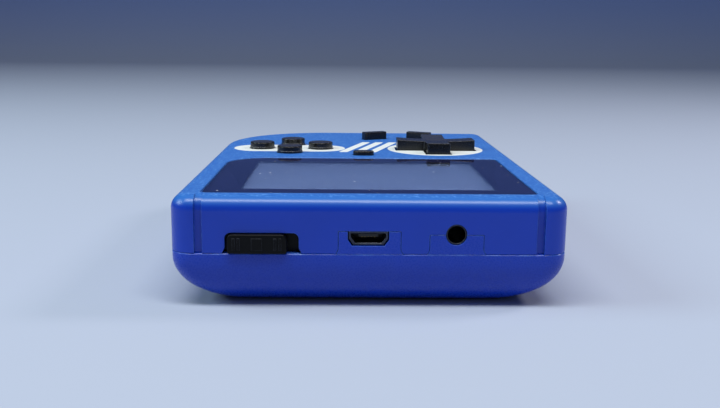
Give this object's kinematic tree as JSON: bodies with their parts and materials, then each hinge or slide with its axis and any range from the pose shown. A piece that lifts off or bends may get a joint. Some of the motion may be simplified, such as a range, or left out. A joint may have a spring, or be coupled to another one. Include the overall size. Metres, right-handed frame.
{
  "type": "handheld game console",
  "caption": "Handheld game console with a glossy screen, a rocking cross, round push buttons, turned menu bars, a power slider, a charging port and a jack on its end wall.",
  "frame": {"origin": "centre of the footprint at the lowest level, with the console lying on its back", "axes": "+Z out of the face, +Y towards the wall with the ports, +X to the player's right"},
  "size_m": [0.08, 0.1162, 0.0259],
  "materials": {
    "case_blue": "fine moulded grain",
    "key_black": "satin moulded",
    "lens_clear": "polished",
    "tape_black": "printed",
    "panel_glass": "polished",
    "tray_white": "moulded",
    "foam_black": "open cell",
    "ribbon_amber": "smooth film",
    "board_green": "solder mask",
    "sheet_rubber": "moulded silicone",
    "pivot_steel": "polished",
    "post_nylon": "moulded",
    "can_steel": "tin plated",
    "socket_black": "moulded",
    "contact_brass": "gold plated",
    "battery_wrap": "shrink film",
    "speaker_grey": "painted",
    "cone_black": "pressed film",
    "magnet_steel": "plated",
    "wire_red": "insulation",
    "screw_steel": "black oxide",
    "resin_black": "cured resin",
    "chip_black": "moulded",
    "capacitor_sleeve": "sleeve"
  },
  "bodies": {
    "case": {"front_shell": "case_blue", "back_shell": "case_blue", "screen_lens": "lens_clear", "lens_tape": "tape_black", "lcd_gasket": "foam_black", "lcd_panel": "panel_glass", "lcd_frame": "tray_white", "lcd_foam": "foam_black", "lcd_ribbon": "ribbon_amber", "main_board": "board_green", "dpad_post": "post_nylon", "dpad_membrane": "sheet_rubber", "action_membrane": "sheet_rubber", "menu_membrane": "sheet_rubber", "reset_membrane": "sheet_rubber", "power_switch_body": "can_steel", "usb_shell": "can_steel", "usb_tongue": "socket_black", "usb_contacts": "contact_brass", "av_jack_body": "socket_black", "av_jack_contacts": "contact_brass", "battery": "battery_wrap", "battery_contact_block": "socket_black", "battery_contacts": "contact_brass", "speaker_frame": "speaker_grey", "speaker_cone": "cone_black", "speaker_magnet": "magnet_steel", "speaker_wires": "wire_red", "case_screws": "screw_steel", "board_screws": "screw_steel", "processor_blob": "resin_black", "memory_chip": "chip_black", "charge_chip": "chip_black", "crystal_can": "can_steel", "capacitors": "capacitor_sleeve"},
    "pivot": {"pivot_ball": "pivot_steel"},
    "cross": {"dpad": "key_black"},
    "right_button": {"action_button_right": "key_black"},
    "left_button": {"action_button_left": "key_black"},
    "top_button": {"action_button_top": "key_black"},
    "bottom_button": {"action_button_bottom": "key_black"},
    "reset_key": {"reset_button": "key_black"},
    "start_key": {"start_button": "key_black"},
    "select_key": {"select_button": "key_black"},
    "power_slider": {"power_knob": "key_black", "power_switch_lever": "post_nylon"},
    "door": {"battery_door": "case_blue"}
  },
  "joints": [
    {"name": "cross_tilt_x", "type": "hinge", "parent": "case", "child": "pivot", "pos_m": [-0.02035, -0.0164, 0.0182], "axis": [1, 0, 0], "range_deg": [-4, 4], "stiffness_Nm_per_rad": 0.15, "deforming": ["dpad_membrane"]},
    {"name": "cross_tilt_y", "type": "hinge", "parent": "pivot", "child": "cross", "pos_m": [-0.02035, -0.0164, 0.0182], "axis": [0, 1, 0], "range_deg": [-4, 4], "stiffness_Nm_per_rad": 0.15, "deforming": ["dpad_membrane"]},
    {"name": "right_button_press", "type": "slide", "parent": "case", "child": "right_button", "axis": [0, 0, -1], "range_m": [0, 0.001], "stiffness_N_per_m": 1000, "deforming": ["action_membrane"]},
    {"name": "left_button_press", "type": "slide", "parent": "case", "child": "left_button", "axis": [0, 0, -1], "range_m": [0, 0.001], "stiffness_N_per_m": 1000, "deforming": ["action_membrane"]},
    {"name": "top_button_press", "type": "slide", "parent": "case", "child": "top_button", "axis": [0, 0, -1], "range_m": [0, 0.001], "stiffness_N_per_m": 1000, "deforming": ["action_membrane"]},
    {"name": "bottom_button_press", "type": "slide", "parent": "case", "child": "bottom_button", "axis": [0, 0, -1], "range_m": [0, 0.001], "stiffness_N_per_m": 1000, "deforming": ["action_membrane"]},
    {"name": "reset_press", "type": "slide", "parent": "case", "child": "reset_key", "axis": [0, 0, -1], "range_m": [0, 0.0007], "stiffness_N_per_m": 1000, "deforming": ["reset_membrane"]},
    {"name": "start_press", "type": "slide", "parent": "case", "child": "start_key", "axis": [0, 0, -1], "range_m": [0, 0.0009], "stiffness_N_per_m": 1000, "deforming": ["menu_membrane"]},
    {"name": "select_press", "type": "slide", "parent": "case", "child": "select_key", "axis": [0, 0, -1], "range_m": [0, 0.0009], "stiffness_N_per_m": 1000, "deforming": ["menu_membrane"]},
    {"name": "power_slide", "type": "slide", "parent": "case", "child": "power_slider", "axis": [-1, 0, 0], "range_m": [0, 0.0021]},
    {"name": "door_swing", "type": "hinge", "parent": "case", "child": "door", "pos_m": [0, -0.0477, 0.0005], "axis": [-1, 0, 0], "range_deg": [0, 20]}
  ]
}
